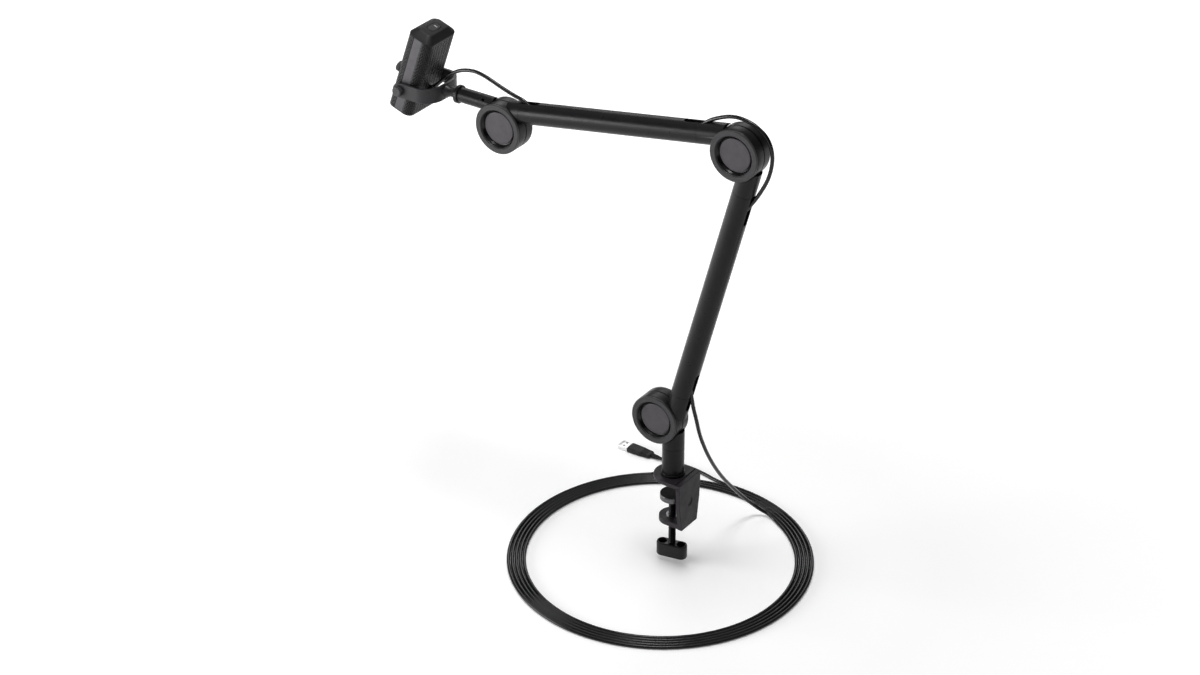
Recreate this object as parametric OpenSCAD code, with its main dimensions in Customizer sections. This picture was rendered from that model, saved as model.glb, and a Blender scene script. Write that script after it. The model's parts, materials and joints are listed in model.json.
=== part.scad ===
// Condenser microphone on a jointed desk arm, with a desk clamp and a USB lead.
// Origin: on the post axis, on the underside of the clamp's upper jaw pad. +Z is up,
// the arm folds in the XZ plane, and the microphone is held out towards -X.

/* [Arm] */
// Diameter of the post and of both arm tubes
tube_d = 23.4; // [20:0.1:26]
// Wall of the arm tubes
tube_wall = 2; // [1.5:0.1:2.5]
// Length of the lower arm between its pivots
lower_len = 342; // [300:1:400]
// Length of the upper arm between its pivots
upper_len = 288; // [260:1:340]
// Lean of the lower arm behind the vertical, in degrees
lower_lean = 15; // [0:1:20]
// Drop of the upper arm below the horizontal, in degrees
upper_drop = 10; // [5:1:15]
// Height of the shoulder pivot above the origin
shoulder_h = 71.5; // [70:0.5:80]

/* [Pivot drums] */
// Radius of a pivot drum
drum_r = 27.3; // [26:0.1:30]
// Half of a drum's depth
drum_half = 14; // [13:0.5:16]
// Radius of the pivot bolt
bolt_r = 4; // [3:0.5:5]
// Radius of the dished centre of a cover
dish_r = 22; // [20:0.5:23]

/* [Clamp] */
// Half width of the upper jaw
jaw_half = 20.3; // [18:0.1:24]
// Radius of the lower jaw
low_jaw_r = 14.3; // [13:0.1:16]
// Outer face of the back plate
back_x = 21.5; // [20:0.5:24]
// Thickness of the back plate
back_t = 5; // [4:0.5:6]
// Top of the upper jaw
jaw_top = 6; // [5:0.5:8]
// Underside of the lower jaw, below the origin
clamp_low = 52; // [48:1:60]
// Radius of the clamp screw
screw_r = 4; // [3:0.5:5]

/* [Microphone] */
// Width of the microphone along its tilt axis
mic_w = 48; // [44:1:56]
// Thickness of the microphone
mic_t = 30; // [26:1:34]
// Height of the microphone above its tilt axis
mic_up = 72; // [65:1:80]
// Depth of the microphone below its tilt axis
mic_down = 33; // [30:1:34]
// Lean of the microphone, top towards the arm, in degrees
mic_lean = 19; // [0:1:25]
// Radius of the microphone's upright corners
mic_corner = 8; // [5:0.5:10]

/* [Lead] */
// Diameter of the USB lead
lead_d = 4; // [3.5:0.1:4.5]

/* [Hidden] */
$fn = 48;

slack = 0.05;              // radial running clearance
parting = 0.5;             // half of the gap between two drum halves
sweep_gap = 0.5;           // gap that a neck keeps from the other half's rim
tube_ofs = drum_r - tube_d / 2 + 0.4;    // tube axis from a pivot, the tube's side near the rim
wrist_d = 16;              // wrist tube
wrist_wall = 1.75;
wrist_ofs = drum_r - wrist_d / 2;
neck_start = 12;           // a neck begins this far along its tube
seam = 42;                 // neck to tube joint, from the pivot
lower_top_seam = 40;
upper_end_seam = 28;
post_seam = 32;
wrist_seam = 28;
spigot_len = 18;
slot_w = 7;                // lead slots in the tubes

J1 = [-tube_ofs, 0, shoulder_h];
J2 = J1 + lower_len * [sin(lower_lean), 0, cos(lower_lean)];
J3 = J2 + upper_len * [-cos(upper_drop), 0, -sin(upper_drop)];
wrist_z = J3[2] + wrist_ofs;              // wrist tube, yoke and tilt axis height
wrist_end = J3[0] - 55;                   // end of the wrist tube
collar_end = wrist_end - 4.6;
yoke_out = collar_end - 12.9;             // outer face of the yoke's back
yoke_t = 3.6;
tilt_x = yoke_out - 41.5;
yoke_half = 29;                           // half width over the yoke's arms
yoke_arm_t = 3;
yoke_h = 16;
floor_z = -104;                           // surface that the lead lies on
mic_ofs = 2.5;                            // middle of the microphone behind its tilt axis
cap_edge = 7;                             // height of the chamfered caps
shell_t = 1.4;
coil_c = [-9.5, -5.9];                    // centre of the lead's coil
coil_in = 141.7;
coil_out = 166;
plug_w = 14;
plug_t = 6.4;
plug_at = [-129, 155.3, floor_z + plug_t / 2];    // back of the plug's moulding

// Routes of the lead, in millimetres, from where it leaves the microphone to the plug
wrist_route = [
    [-299, 0, 372.5], [-292, 0, 379.5], [-284.5, 0, 386.5], [-276, 0, 393], [-267, 0, 398],
    [-257, 0, 401], [-247, 0, 402], [-237, 0, 400.5], [-227, 0, 397.5], [-217, 0, 394],
    [-207, 0, 390.8], [-197, 0, 388], [-187.5, 0, 385.8], [-178.5, 0, 381], [-170.5, 0, 378.2],
    [-163, 0, 377.2], [-155.2, 0, 378.5]
];
elbow_route = [
    [6.9, 0, 407.2], [13.5, 0, 409], [21, 0, 413.4], [29.5, 0, 420], [39, 0, 426.8],
    [49, 0, 431.8], [59, 0, 435.5], [68, 0, 437], [77, 0, 436.5], [85, 0, 434.7],
    [93, 0, 431], [99.5, 0, 426.5], [104.5, 0, 420], [107.5, 0, 412], [108.5, 0, 404],
    [108, 0, 396], [106.5, 0, 388], [104, 0, 380], [100.5, 0, 372], [96, 0, 363.5],
    [91, 0, 355], [84.5, 0, 345.5], [78.3, 0, 337], [73, 0, 329], [69.3, 0, 321.8],
    [66.4, 0, 314.8]
];
drop_upper_route = [
    [21.7, 0, 148], [19.9, 0, 140.5], [18.9, 0, 132], [19, 0, 123], [20.2, 0, 112.5],
    [22, 0.3, 102], [23.5, 1, 92], [24.8, 3, 82], [25.2, 5.5, 73], [25.2, 9, 62],
    [25, 13.5, 51], [24.7, 19, 40], [24.3, 24.9, 29.2]
];
drop_lower_route = [
    [24.3, 25.1, 28.8], [24, 31.5, 18], [23.6, 38, 8], [23.2, 45, -2], [22.6, 52.5, -12],
    [22, 60.5, -22], [21.4, 69, -32], [21, 77.5, -41.5], [20.9, 86, -51], [21, 94.5, -60.5],
    [21.9, 102.5, -69.5], [23.5, 110, -78], [26, 116.5, -85.5], [29.5, 121.5, -91.5],
    [34.5, 125, -96.2], [41, 127, -99.3], [49, 125.5, -101.4], [58, 121, -102]
];
tail_route = [
    [-23.5, 153.5, -102], [-35, 153.6, -102], [-46, 155, -102], [-57, 157.3, -102],
    [-68, 159, -102], [-79, 159.8, -102], [-90, 159.2, -102], [-100, 157.4, -101.8],
    [-107.5, 156, -101.2], [-113, 155.3, -100.8], [-118.8, 155.3, -100.8]
];

// --- frames: +Z runs along the tube away from the pivot ---
module from_shoulder_down() { translate(J1) rotate([0, 180, 0]) children(); }
module from_shoulder_up() { translate(J1) rotate([0, lower_lean, 0]) children(); }
module from_elbow_down() { translate(J2) rotate([0, lower_lean + 180, 0]) children(); }
module from_elbow_out() { translate(J2) rotate([0, -90 - upper_drop, 0]) children(); }
module from_wrist_in() { translate(J3) rotate([0, 90 - upper_drop, 0]) children(); }
module from_wrist_out() { translate(J3) rotate([0, -90, 0]) children(); }
// +Z of a turned shape then points to the front, -Y
module facing() { rotate([90, 0, 0]) children(); }
module at_tilt() { translate([tilt_x, 0, wrist_z]) children(); }
module in_mic() { at_tilt() rotate([0, mic_lean, 0]) translate([mic_ofs, 0, 0]) children(); }
module along_x() { rotate([0, 90, 0]) children(); }

// --- shared shapes ---
module ring(r_out, r_in, low, high) {
    difference() {
        translate([0, 0, low]) cylinder(r = r_out, h = high - low);
        translate([0, 0, low - 1]) cylinder(r = r_in, h = high - low + 2);
    }
}

module round_rect(w, t, r) {
    square([w - 2 * r, t], center = true);
    square([w, t - 2 * r], center = true);
    for (sx = [-1, 1], sy = [-1, 1])
        translate([sx * (w / 2 - r), sy * (t / 2 - r)]) circle(r);
}

// Slot through a tube's outer side, from s0 to s1 along it
module lead_slot(ofs, side, s0, s1) {
    reach = 14;
    r = slot_w / 2;
    translate([side * (ofs + reach / 2 + 3), 0, 0]) {
        translate([-reach / 2, -r, s0 + r]) cube([reach, slot_w, s1 - s0 - 2 * r]);
        for (s = [s0 + r, s1 - r])
            translate([-reach / 2, 0, s]) along_x() cylinder(r = r, h = reach);
    }
}

module front_drum() {
    round_r = 1.2;
    rotate_extrude() {
        translate([0, parting]) square([drum_r, drum_half - 2 - parting - round_r]);
        translate([0, parting]) square([drum_r - round_r, drum_half - 2 - parting]);
        translate([drum_r - round_r, drum_half - 2 - round_r]) circle(round_r);
    }
}

module rear_drum() {
    round_r = 5;
    rotate_extrude() {
        translate([0, -drum_half + round_r]) square([drum_r, drum_half - round_r - parting]);
        translate([0, -drum_half]) square([drum_r - round_r, drum_half - parting]);
        translate([drum_r - round_r, -drum_half + round_r]) circle(round_r);
    }
}

// One half of a pivot drum with the neck that carries a tube.
// front: the half nearer the covers. side: +1 or -1, the tube's side of the pivot.
module hub(front, side, ofs, d, wall, joint, slot_from, slot_to, spigot = spigot_len) {
    bore = d / 2 - wall - slack;
    channel = bore - 2;
    other_low = front ? -drum_half - 1 : -parting;
    difference() {
        union() {
            if (front) facing() front_drum();
            if (!front) facing() rear_drum();
            translate([side * ofs, 0, neck_start]) cylinder(d = d, h = joint - neck_start);
            translate([side * ofs, 0, joint - 1]) cylinder(r = bore, h = spigot + 1);
        }
        // room for the other half of the drum
        facing() translate([0, 0, other_low])
            cylinder(r = drum_r + sweep_gap, h = drum_half + 1 + parting);
        facing() translate([0, 0, -drum_half + 3]) cylinder(r = bolt_r + slack, h = 2 * drum_half);
        if (front) facing() translate([0, 0, 3]) cylinder(r = drum_r - 5.5, h = drum_half);
        if (!front) facing() translate([0, 0, -10.5])
            cylinder(r = 7.55, h = 6.5, $fn = 6);
        translate([side * ofs, 0, drum_r]) cylinder(r = channel, h = joint + spigot);
        if (slot_to > slot_from) lead_slot(ofs, side, slot_from, slot_to);
    }
}

module cover() {
    depth = drum_half - 2;
    rotate_extrude() polygon([
        [0, depth - 1.8], [17.9, depth - 1.8], [17.9, depth - 2.8], [18.7, depth - 2.8],
        [dish_r, drum_half], [drum_r - 0.7, drum_half], [drum_r - 0.1, drum_half - 0.6],
        [drum_r - 0.1, depth + 0.02], [dish_r - 0.4, depth + 0.02], [19.3, depth - 3.6],
        [0, depth - 3.6]
    ]);
}

module pivot_bolt() {
    facing() difference() {
        union() {
            translate([0, 0, -drum_half + 3.5]) cylinder(r = bolt_r, h = drum_half + 2.3);
            translate([0, 0, 5.8]) cylinder(r = 7, h = 2.4);
        }
        translate([0, 0, 6.8]) cylinder(r = 2.9, h = 2, $fn = 6);
    }
}

module pivot_nut() {
    facing() difference() {
        translate([0, 0, -10.4]) cylinder(r = 7.5, h = 6.3, $fn = 6);
        translate([0, 0, -11]) cylinder(r = bolt_r + slack, h = 8);
    }
}

// Friction disc between the drum halves, two cupped springs and a flat washer under the head
module pivot_washers() {
    facing() {
        ring(22, 8, -parting + 0.02, parting - 0.02);
        rotate_extrude() polygon([[4.2, 3.8], [9, 3.02], [9, 3.52], [4.2, 4.3]]);
        rotate_extrude() polygon([[4.2, 4.32], [9, 3.54], [9, 4.04], [4.2, 4.82]]);
        ring(8, 4.2, 4.84, 5.78);
    }
}

module plain_tube(ofs, side, d, wall, s0, s1) {
    translate([side * ofs, 0, 0]) ring(d / 2, d / 2 - wall, s0, s1);
}

// --- a tube of the lead swept along a route ---
function unit(v) = v / norm(v);
function heading(p, i) = unit(p[min(i + 1, len(p) - 1)] - p[max(i - 1, 0)]);
function across(n, t) = unit(n - (n * t) * t);
function ring_at(c, n, b, r, sides) =
    [for (k = [0:sides - 1]) c + r * (cos(360 * k / sides) * n + sin(360 * k / sides) * b)];

module swept_lead(route, sides = 8) {
    last = len(route) - 1;
    normals = [
        for (i = 0, n = across([0, 1, 0], heading(route, 0)); i <= last;
             i = i + 1, n = across(n, heading(route, min(i, last)))) n
    ];
    points = [
        for (i = [0:last])
            each ring_at(route[i], normals[i], cross(heading(route, i), normals[i]),
                         lead_d / 2, sides)
    ];
    walls = [
        for (i = [0:last - 1], k = [0:sides - 1])
            let (a = i * sides + k, b = i * sides + (k + 1) % sides)
                [a, a + sides, b + sides, b]
    ];
    near_end = [for (k = [0:sides - 1]) k];
    far_end = [for (k = [0:sides - 1]) last * sides + sides - 1 - k];
    polyhedron(points, concat([near_end], walls, [far_end]), convexity = 4);
}

// --- clamp ---
module clamp_bracket() {
    color("#2b2a2c") difference() {
        union() {
            translate([0, 0, 1.5]) linear_extrude(jaw_top - 1.5) {
                circle(jaw_half);
                translate([0, -jaw_half]) square([back_x, 2 * jaw_half]);
            }
            translate([back_x - back_t, 0, 0]) rotate([90, 0, 90]) linear_extrude(back_t)
                polygon([
                    [-jaw_half, jaw_top], [-jaw_half + 1.3, -24], [-low_jaw_r - 0.4, -clamp_low],
                    [low_jaw_r + 0.4, -clamp_low], [jaw_half - 1.3, -24], [jaw_half, jaw_top]
                ]);
            translate([0, 0, -clamp_low]) linear_extrude(6) {
                circle(low_jaw_r);
                translate([0, -low_jaw_r]) square([back_x, 2 * low_jaw_r]);
            }
        }
        translate([0, 0, -clamp_low - 1]) cylinder(r = 7.02, h = 8);
        // blank round recess on the back plate
        translate([back_x - 0.8, 0, -22]) along_x() cylinder(r = 4.8, h = 2);
        // line pressed into the top along the bend
        translate([back_x - 6.5, -jaw_half - 1, jaw_top - 0.5]) cube([0.9, 2 * jaw_half + 2, 1]);
    }
}

module jaw_pad() {
    straight = back_x - back_t - 0.5;
    color("#1d1d1e") linear_extrude(1.48) {
        intersection() {
            circle(jaw_half - 2);
            translate([-jaw_half, -jaw_half]) square([jaw_half + straight, 2 * jaw_half]);
        }
        translate([0, 2 - jaw_half]) square([straight, 2 * jaw_half - 4]);
    }
}

module clamp_nut() {
    color("#8b8c90") ring(7, screw_r + slack, -clamp_low - 0.5, -clamp_low + 6.5);
}

module swivel_spindle() {
    color("#8b8c90") {
        difference() {
            translate([0, 0, jaw_top]) cylinder(r = 6, h = 24);
            ring(7, 5.3, 20.1, 21.4);
        }
        ring(8.2, 5.3, 20.2, 21.3);
    }
}

module pressure_pad() {
    color("#6f7073") difference() {
        union() {
            translate([0, 0, -25]) cylinder(r = 13.5, h = 6);
            translate([0, 0, -29]) cylinder(r = 7, h = 5);
        }
        translate([0, 0, -20.5]) cylinder(r = 12.9, h = 3);
        translate([0, 0, -30]) cylinder(r = screw_r + slack, h = 8.5);
    }
}

module pad_rubber() {
    color("#1b1b1c") translate([0, 0, -20.48]) cylinder(r = 12.8, h = 1.48);
}

module clamp_screw() {
    color("#3a3a3c") translate([0, 0, -92]) cylinder(r = screw_r, h = 70.4);
}

module t_handle() {
    color("#242425") rotate([0, 0, 11]) difference() {
        translate([0, 0, -98]) linear_extrude(16) round_rect(34, 13.5, 6.5);
        translate([0, 0, -92.1]) cylinder(r = screw_r + 0.02, h = 12);
        for (sx = [-1, 1])
            translate([sx * 10.3, 0, -92]) linear_extrude(12) round_rect(8.4, 9, 3.6);
    }
}

// --- post and shoulder ---
module post_bush() {
    color("#19191a") difference() {
        union() {
            translate([0, 0, jaw_top + 0.05]) cylinder(r = 12.8, h = 3);
            translate([0, 0, jaw_top + 3]) cylinder(r = tube_d / 2 - tube_wall - slack, h = 11);
        }
        translate([0, 0, jaw_top - 1]) cylinder(r = 6 + slack, h = 20);
    }
}

module post_tube() {
    color("#303032")
        from_shoulder_down() plain_tube(
            tube_ofs, -1, tube_d, tube_wall, post_seam, shoulder_h - jaw_top - 3.05);
}

module shoulder_rear_hub() {
    color("#2c2c2e") from_shoulder_down()
        hub(false, -1, tube_ofs, tube_d, tube_wall, post_seam, 0, 0);
}

module shoulder_bolt() { color("#77787c") translate(J1) pivot_bolt(); }
module shoulder_nut() { color("#77787c") from_shoulder_down() pivot_nut(); }
module shoulder_washers() { color("#55555a") translate(J1) pivot_washers(); }

// --- lower arm and elbow ---
module shoulder_front_hub() {
    color("#2c2c2e") from_shoulder_up()
        hub(true, 1, tube_ofs, tube_d, tube_wall, seam, 24, 73);
}

module shoulder_cap() { color("#434246") translate(J1) facing() cover(); }

module lower_tube() {
    color("#303032") from_shoulder_up() difference() {
        plain_tube(tube_ofs, 1, tube_d, tube_wall, seam, lower_len - lower_top_seam);
        lead_slot(tube_ofs, 1, 24, 73);
        lead_slot(tube_ofs, 1, lower_len - 75, lower_len - 38);
    }
}

module lower_lead_run() {
    color("#161617") from_shoulder_up()
        translate([tube_ofs + 0.6, 0, 84]) cylinder(d = lead_d, h = lower_len - 170);
}

module elbow_rear_hub() {
    color("#2c2c2e") from_elbow_down()
        hub(false, -1, tube_ofs, tube_d, tube_wall, lower_top_seam, 38, 75);
}

module elbow_bolt() { color("#77787c") translate(J2) pivot_bolt(); }
module elbow_nut() { color("#77787c") from_elbow_down() pivot_nut(); }
module elbow_washers() { color("#55555a") translate(J2) pivot_washers(); }

// --- upper arm and wrist ---
module elbow_front_hub() {
    color("#2c2c2e") from_elbow_out()
        hub(true, 1, tube_ofs, tube_d, tube_wall, seam, 29, 61);
}

module elbow_cap() { color("#434246") translate(J2) facing() cover(); }

module upper_tube() {
    color("#303032") from_elbow_out() difference() {
        plain_tube(tube_ofs, 1, tube_d, tube_wall, seam, upper_len - upper_end_seam);
        lead_slot(tube_ofs, 1, 29, 61);
        lead_slot(tube_ofs, 1, upper_len - 50, upper_len - 27);
    }
}

module upper_lead_run() {
    color("#161617") from_elbow_out()
        translate([tube_ofs + 0.6, 0, 64]) cylinder(d = lead_d, h = upper_len - 124);
}

module wrist_rear_hub() {
    color("#2c2c2e") from_wrist_in()
        hub(false, -1, tube_ofs, tube_d, tube_wall, upper_end_seam, 27, 50);
}

module wrist_bolt() { color("#77787c") translate(J3) pivot_bolt(); }
module wrist_nut() { color("#77787c") from_wrist_in() pivot_nut(); }
module wrist_washers() { color("#55555a") translate(J3) pivot_washers(); }

module wrist_front_hub() {
    color("#2c2c2e") difference() {
        from_wrist_out() hub(true, 1, wrist_ofs, wrist_d, wrist_wall, wrist_seam, 0, 0, 5.5);
        // set screw hole
        translate([J3[0] - 23, 0, wrist_z]) rotate([50, 0, 0]) cylinder(r = 1.6, h = 12);
    }
}

module wrist_cap() { color("#434246") translate(J3) facing() cover(); }

module wrist_tube() {
    color("#303032") from_wrist_out()
        plain_tube(wrist_ofs, 1, wrist_d, wrist_wall, wrist_seam, J3[0] - wrist_end);
}

module thread_insert() {
    color("#a08348") translate([wrist_end, 0, wrist_z]) along_x() difference() {
        cylinder(r = wrist_d / 2 - wrist_wall - slack, h = 12);
        translate([0, 0, -1]) cylinder(r = 4 + slack, h = 14);
    }
}

module lock_collar() {
    collar_len = wrist_end - collar_end;
    color("#232324") translate([collar_end, 0, wrist_z]) along_x() difference() {
        rotate_extrude() {
            translate([0, 0.7]) square([9.75, collar_len - 1.5]);
            square([9.05, collar_len - 0.1]);
            for (end = [0.7, collar_len - 0.8]) translate([9.05, end]) circle(0.7);
        }
        translate([0, 0, -1]) cylinder(r = 4 + slack, h = 14);
    }
}

// --- yoke ---
module yoke_frame() {
    arm_len = yoke_out - tilt_x + yoke_h / 2;
    r_out = 20;
    r_in = r_out - yoke_arm_t;
    color("#39393b") difference() {
        union() {
            intersection() {
                translate([0, 0, wrist_z - yoke_h / 2]) linear_extrude(yoke_h) difference() {
                    translate([yoke_out - arm_len / 2, 0]) union() {
                        translate([-r_out / 2, 0])
                            square([arm_len - r_out, 2 * yoke_half], center = true);
                        square([arm_len, 2 * (yoke_half - r_out)], center = true);
                        for (sy = [-1, 1])
                            translate([arm_len / 2 - r_out, sy * (yoke_half - r_out)])
                                circle(r_out);
                    }
                    translate([yoke_out - yoke_t - arm_len / 2, 0]) union() {
                        translate([-r_in / 2 - 2, 0])
                            square([arm_len - r_in + 4, 2 * (yoke_half - yoke_arm_t)],
                                   center = true);
                        square([arm_len, 2 * (yoke_half - yoke_arm_t - r_in)], center = true);
                        for (sy = [-1, 1])
                            translate([arm_len / 2 - r_in, sy * (yoke_half - yoke_arm_t - r_in)])
                                circle(r_in);
                    }
                }
                at_tilt() facing() translate([0, 0, -yoke_half - 1])
                    linear_extrude(2 * yoke_half + 2) {
                        circle(yoke_h / 2);
                        translate([0, -yoke_h / 2]) square([60, yoke_h]);
                    }
            }
            // neck that flares into the back of the yoke
            translate([yoke_out - 1, 0, wrist_z]) along_x() cylinder(r1 = 8, r2 = 5.25, h = 6);
            translate([yoke_out - 1, 0, wrist_z]) along_x()
                cylinder(r = 5.25, h = collar_end - yoke_out + 0.9);
        }
        at_tilt() facing() translate([0, 0, -40]) cylinder(r = 3 + slack, h = 80);
        translate([yoke_out + 2, 0, wrist_z]) along_x() cylinder(r = 4.02, h = 14);
    }
}

module yoke_stud() {
    color("#77787c") translate([yoke_out + 2.1, 0, wrist_z]) along_x()
        cylinder(r = 4, h = 31);
}

// Thumbscrew: knob outside the yoke's arm, shank into the microphone
module thumbscrew() {
    grips = 14;
    difference() {
        union() {
            translate([0, 0, yoke_half + 0.05]) cylinder(r = 5.6, h = 4.9);
            translate([0, 0, 14]) cylinder(r = 3, h = yoke_half - 13);
        }
        for (k = [0:grips - 1])
            rotate([0, 0, 360 * k / grips]) translate([5.9, 0, yoke_half])
                cylinder(r = 0.6, h = 6, $fn = 16);
    }
}

module left_thumbscrew() { color("#48484b") at_tilt() rotate([90, 0, 0]) thumbscrew(); }
module right_thumbscrew() { color("#48484b") at_tilt() rotate([-90, 0, 0]) thumbscrew(); }

// --- microphone ---
body_low = -mic_down + cap_edge;
body_high = mic_up - cap_edge;
strip_half = 5;

module mic_section(inset = 0) {
    round_rect(mic_t - 2 * inset, mic_w - 2 * inset, mic_corner - inset);
}

module mic_frame() {
    strip_t = 3.5;
    color("#4b4a4d") in_mic() difference() {
        union() {
            intersection() {
                translate([0, 0, body_low]) linear_extrude(body_high - body_low) mic_section();
                for (sy = [-1, 1])
                    translate([-strip_half, sy * (mic_w / 2 - strip_t / 2) - strip_t / 2, body_low])
                        cube([2 * strip_half, strip_t, body_high - body_low]);
            }
            for (z = [body_low, body_high - 5])
                translate([-strip_half, -mic_w / 2 + 2, z]) cube([2 * strip_half, mic_w - 4, 5]);
            translate([-mic_ofs, 0, 0]) for (sy = [-1, 1])
                translate([0, sy * (mic_w / 2 - 6.5), 0]) rotate([90, 0, 0])
                    cylinder(r = 6, h = 9, center = true);
        }
        translate([-mic_ofs, 0, 0]) rotate([90, 0, 0]) cylinder(r = 3.3, h = 80, center = true);
        translate([-mic_ofs, 0, 0]) rotate([90, 0, 0])
            cylinder(r = 4.45, h = mic_w - 6, center = true);
    }
}

module grille_shell() {
    translate([0, 0, body_low]) linear_extrude(body_high - body_low) difference() {
        mic_section();
        mic_section(shell_t);
    }
}

module front_grille() {
    color("#1e1e1f") in_mic() difference() {
        grille_shell();
        translate([-strip_half - 0.02, -mic_w, -mic_down]) cube([80, 2 * mic_w, 200]);
        translate([-mic_t, -13, 15]) along_x() cylinder(r = 3.2, h = mic_t);
        // room for the thumbscrews
        translate([-mic_ofs, 0, 0]) rotate([90, 0, 0]) cylinder(r = 3.3, h = 80, center = true);
    }
}

module rear_grille() {
    color("#1e1e1f") in_mic() difference() {
        grille_shell();
        translate([strip_half + 0.02 - 80, -mic_w, -mic_down]) cube([80, 2 * mic_w, 200]);
        translate([0, 0, 1]) along_x() cylinder(r = 4.65, h = mic_t);
    }
}

// Cap whose edges slope in: more along the width than along the thickness
module cap_block() {
    hull() {
        linear_extrude(0.6) round_rect(mic_t, mic_w, mic_corner, $fn = 32);
        translate([0, 0, cap_edge - 0.1]) linear_extrude(0.1)
            round_rect(mic_t - 12.4, mic_w - 15, mic_corner - 3, $fn = 32);
    }
}

module top_cap() {
    color("#2a2a2c") in_mic() difference() {
        translate([0, 0, body_high + 0.02]) cap_block();
        translate([0, 0, body_high - 1]) linear_extrude(5) round_rect(mic_t - 11, mic_w - 17, 4);
        translate([0, 0, body_high]) linear_extrude(cap_edge + 1) round_rect(9.3, 16.3, 4.2);
    }
}

module bottom_cap() {
    color("#2a2a2c") in_mic() difference() {
        translate([0, 0, body_low - 0.02]) mirror([0, 0, 1]) cap_block();
        translate([0, 0, body_low - 4]) linear_extrude(5) round_rect(mic_t - 11, mic_w - 17, 4);
    }
}

capsule_z = 42;

module capsule() {
    color("#9a7f45") in_mic() translate([-9, 0, capsule_z]) along_x() difference() {
        cylinder(r = 8, h = 7);
        translate([0, 0, -1]) cylinder(r = 6.8, h = 1.8);
    }
}

module capsule_mount() {
    color("#202021") in_mic() translate([-7.5, 0, capsule_z]) {
        along_x() ring(10.5, 8.02, 0, 4);
        for (sy = [-1, 1])
            translate([0, sy * 15.2 - 5, -2]) cube([4, 10, 4]);
    }
}

module circuit_board() {
    color("#214a2d") in_mic() {
        translate([1.5, -12.5, -19]) cube([1.6, 25, 48]);
        // gain control that the knob's shaft enters
        difference() {
            translate([-8.5, -17.5, 10.5]) cube([10, 9, 9]);
            translate([-9.5, -13, 15]) along_x() cylinder(r = 3 + slack, h = 5);
        }
        // lead socket and converter
        translate([3.1, -4.5, -3]) cube([9.5, 9, 7]);
        translate([3.1, -7, 12]) cube([1.6, 14, 12]);
    }
}

module pivot_inserts() {
    color("#a08348") at_tilt() rotate([0, mic_lean, 0]) for (sy = [-1, 1])
        translate([0, sy * 17, 0]) rotate([90, 0, 0]) difference() {
            cylinder(r = 4.4, h = 7.8, center = true);
            cylinder(r = 3 + slack, h = 10, center = true);
        }
}

module lead_gland() {
    color("#141415") in_mic() difference() {
        union() {
            translate([mic_t / 2 - 2, 0, 1]) along_x() cylinder(r = 4.6, h = 5);
            translate([mic_t / 2 + 2.3, 0, 1]) rotate([0, 26, 0])
                cylinder(r1 = 4, r2 = 2.5, h = 9.6);
        }
        translate([0, -10, -12]) cube([mic_t / 2 - 1.9, 20, 20]);
    }
}

module gain_knob() {
    grips = 18;
    color("#39393b") in_mic() translate([-mic_t / 2, -13, 15]) rotate([0, -90, 0]) difference() {
        union() {
            translate([0, 0, 0.3]) cylinder(r = 5.7, h = 4.4);
            translate([0, 0, 4.7]) cylinder(r1 = 5.7, r2 = 5.1, h = 0.6);
            translate([0, 0, -10.2]) cylinder(r = 3, h = 10.6);
        }
        for (k = [0:grips - 1])
            rotate([0, 0, 360 * k / grips]) translate([5.95, 0, 0.2])
                cylinder(r = 0.5, h = 6, $fn = 16);
    }
}

module mute_button() {
    color("#343436") in_mic() difference() {
        translate([0, 0, mic_up - 3.2]) linear_extrude(3.4) round_rect(9, 16, 4);
        translate([0, 3, mic_up - 1.2]) linear_extrude(3) round_rect(4.7, 2, 0.9);
    }
}

module status_light() {
    color("#d9d9d4") in_mic() translate([0, 3, mic_up - 1.2]) linear_extrude(1.5)
        round_rect(4.6, 1.9, 0.8);
}

// --- lead ---
module wrist_lead() { color("#161617") swept_lead(wrist_route); }
module elbow_lead() { color("#161617") swept_lead(elbow_route); }
module drop_lead_upper() { color("#161617") swept_lead(drop_upper_route); }
module drop_lead_lower() { color("#161617") swept_lead(drop_lower_route); }
module lead_tail() { color("#161617") swept_lead(tail_route); }

module lead_coil() {
    color("#161617") translate([coil_c[0], coil_c[1], 0])
        ring(coil_out, coil_in, floor_z, floor_z + lead_d, $fn = 96);
}

module in_plug() { translate(plug_at) rotate([0, -90, 0]) children(); }

module plug_body() {
    color("#1c1c1d") in_plug() {
        linear_extrude(30) round_rect(plug_t, plug_w, 1.6);
        translate([0, 0, -10]) cylinder(r1 = 2.3, r2 = 3.1, h = 10.5);
    }
}

module plug_shell() {
    shell_len = 12;
    color("#c4c5c8") in_plug() translate([0, 0, 30.02]) {
        difference() {
            linear_extrude(shell_len) square([4.5, 12], center = true);
            translate([0, 0, 0.3]) linear_extrude(shell_len) square([3.9, 11.4], center = true);
        }
        // tongue that carries the contacts
        translate([0.9, 0, 0.2]) linear_extrude(shell_len - 0.8)
            square([1.8, 11.3], center = true);
    }
}

clamp_bracket();
jaw_pad();
clamp_nut();
swivel_spindle();
pressure_pad();
pad_rubber();
clamp_screw();
t_handle();
post_bush();
post_tube();
shoulder_rear_hub();
shoulder_bolt();
shoulder_nut();
shoulder_washers();
shoulder_front_hub();
shoulder_cap();
lower_tube();
lower_lead_run();
elbow_rear_hub();
elbow_bolt();
elbow_nut();
elbow_washers();
elbow_front_hub();
elbow_cap();
upper_tube();
upper_lead_run();
wrist_rear_hub();
wrist_bolt();
wrist_nut();
wrist_washers();
wrist_front_hub();
wrist_cap();
wrist_tube();
thread_insert();
lock_collar();
yoke_frame();
yoke_stud();
left_thumbscrew();
right_thumbscrew();
mic_frame();
front_grille();
rear_grille();
top_cap();
bottom_cap();
capsule();
capsule_mount();
circuit_board();
pivot_inserts();
lead_gland();
gain_knob();
mute_button();
status_light();
wrist_lead();
elbow_lead();
drop_lead_upper();
drop_lead_lower();
lead_coil();
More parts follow.
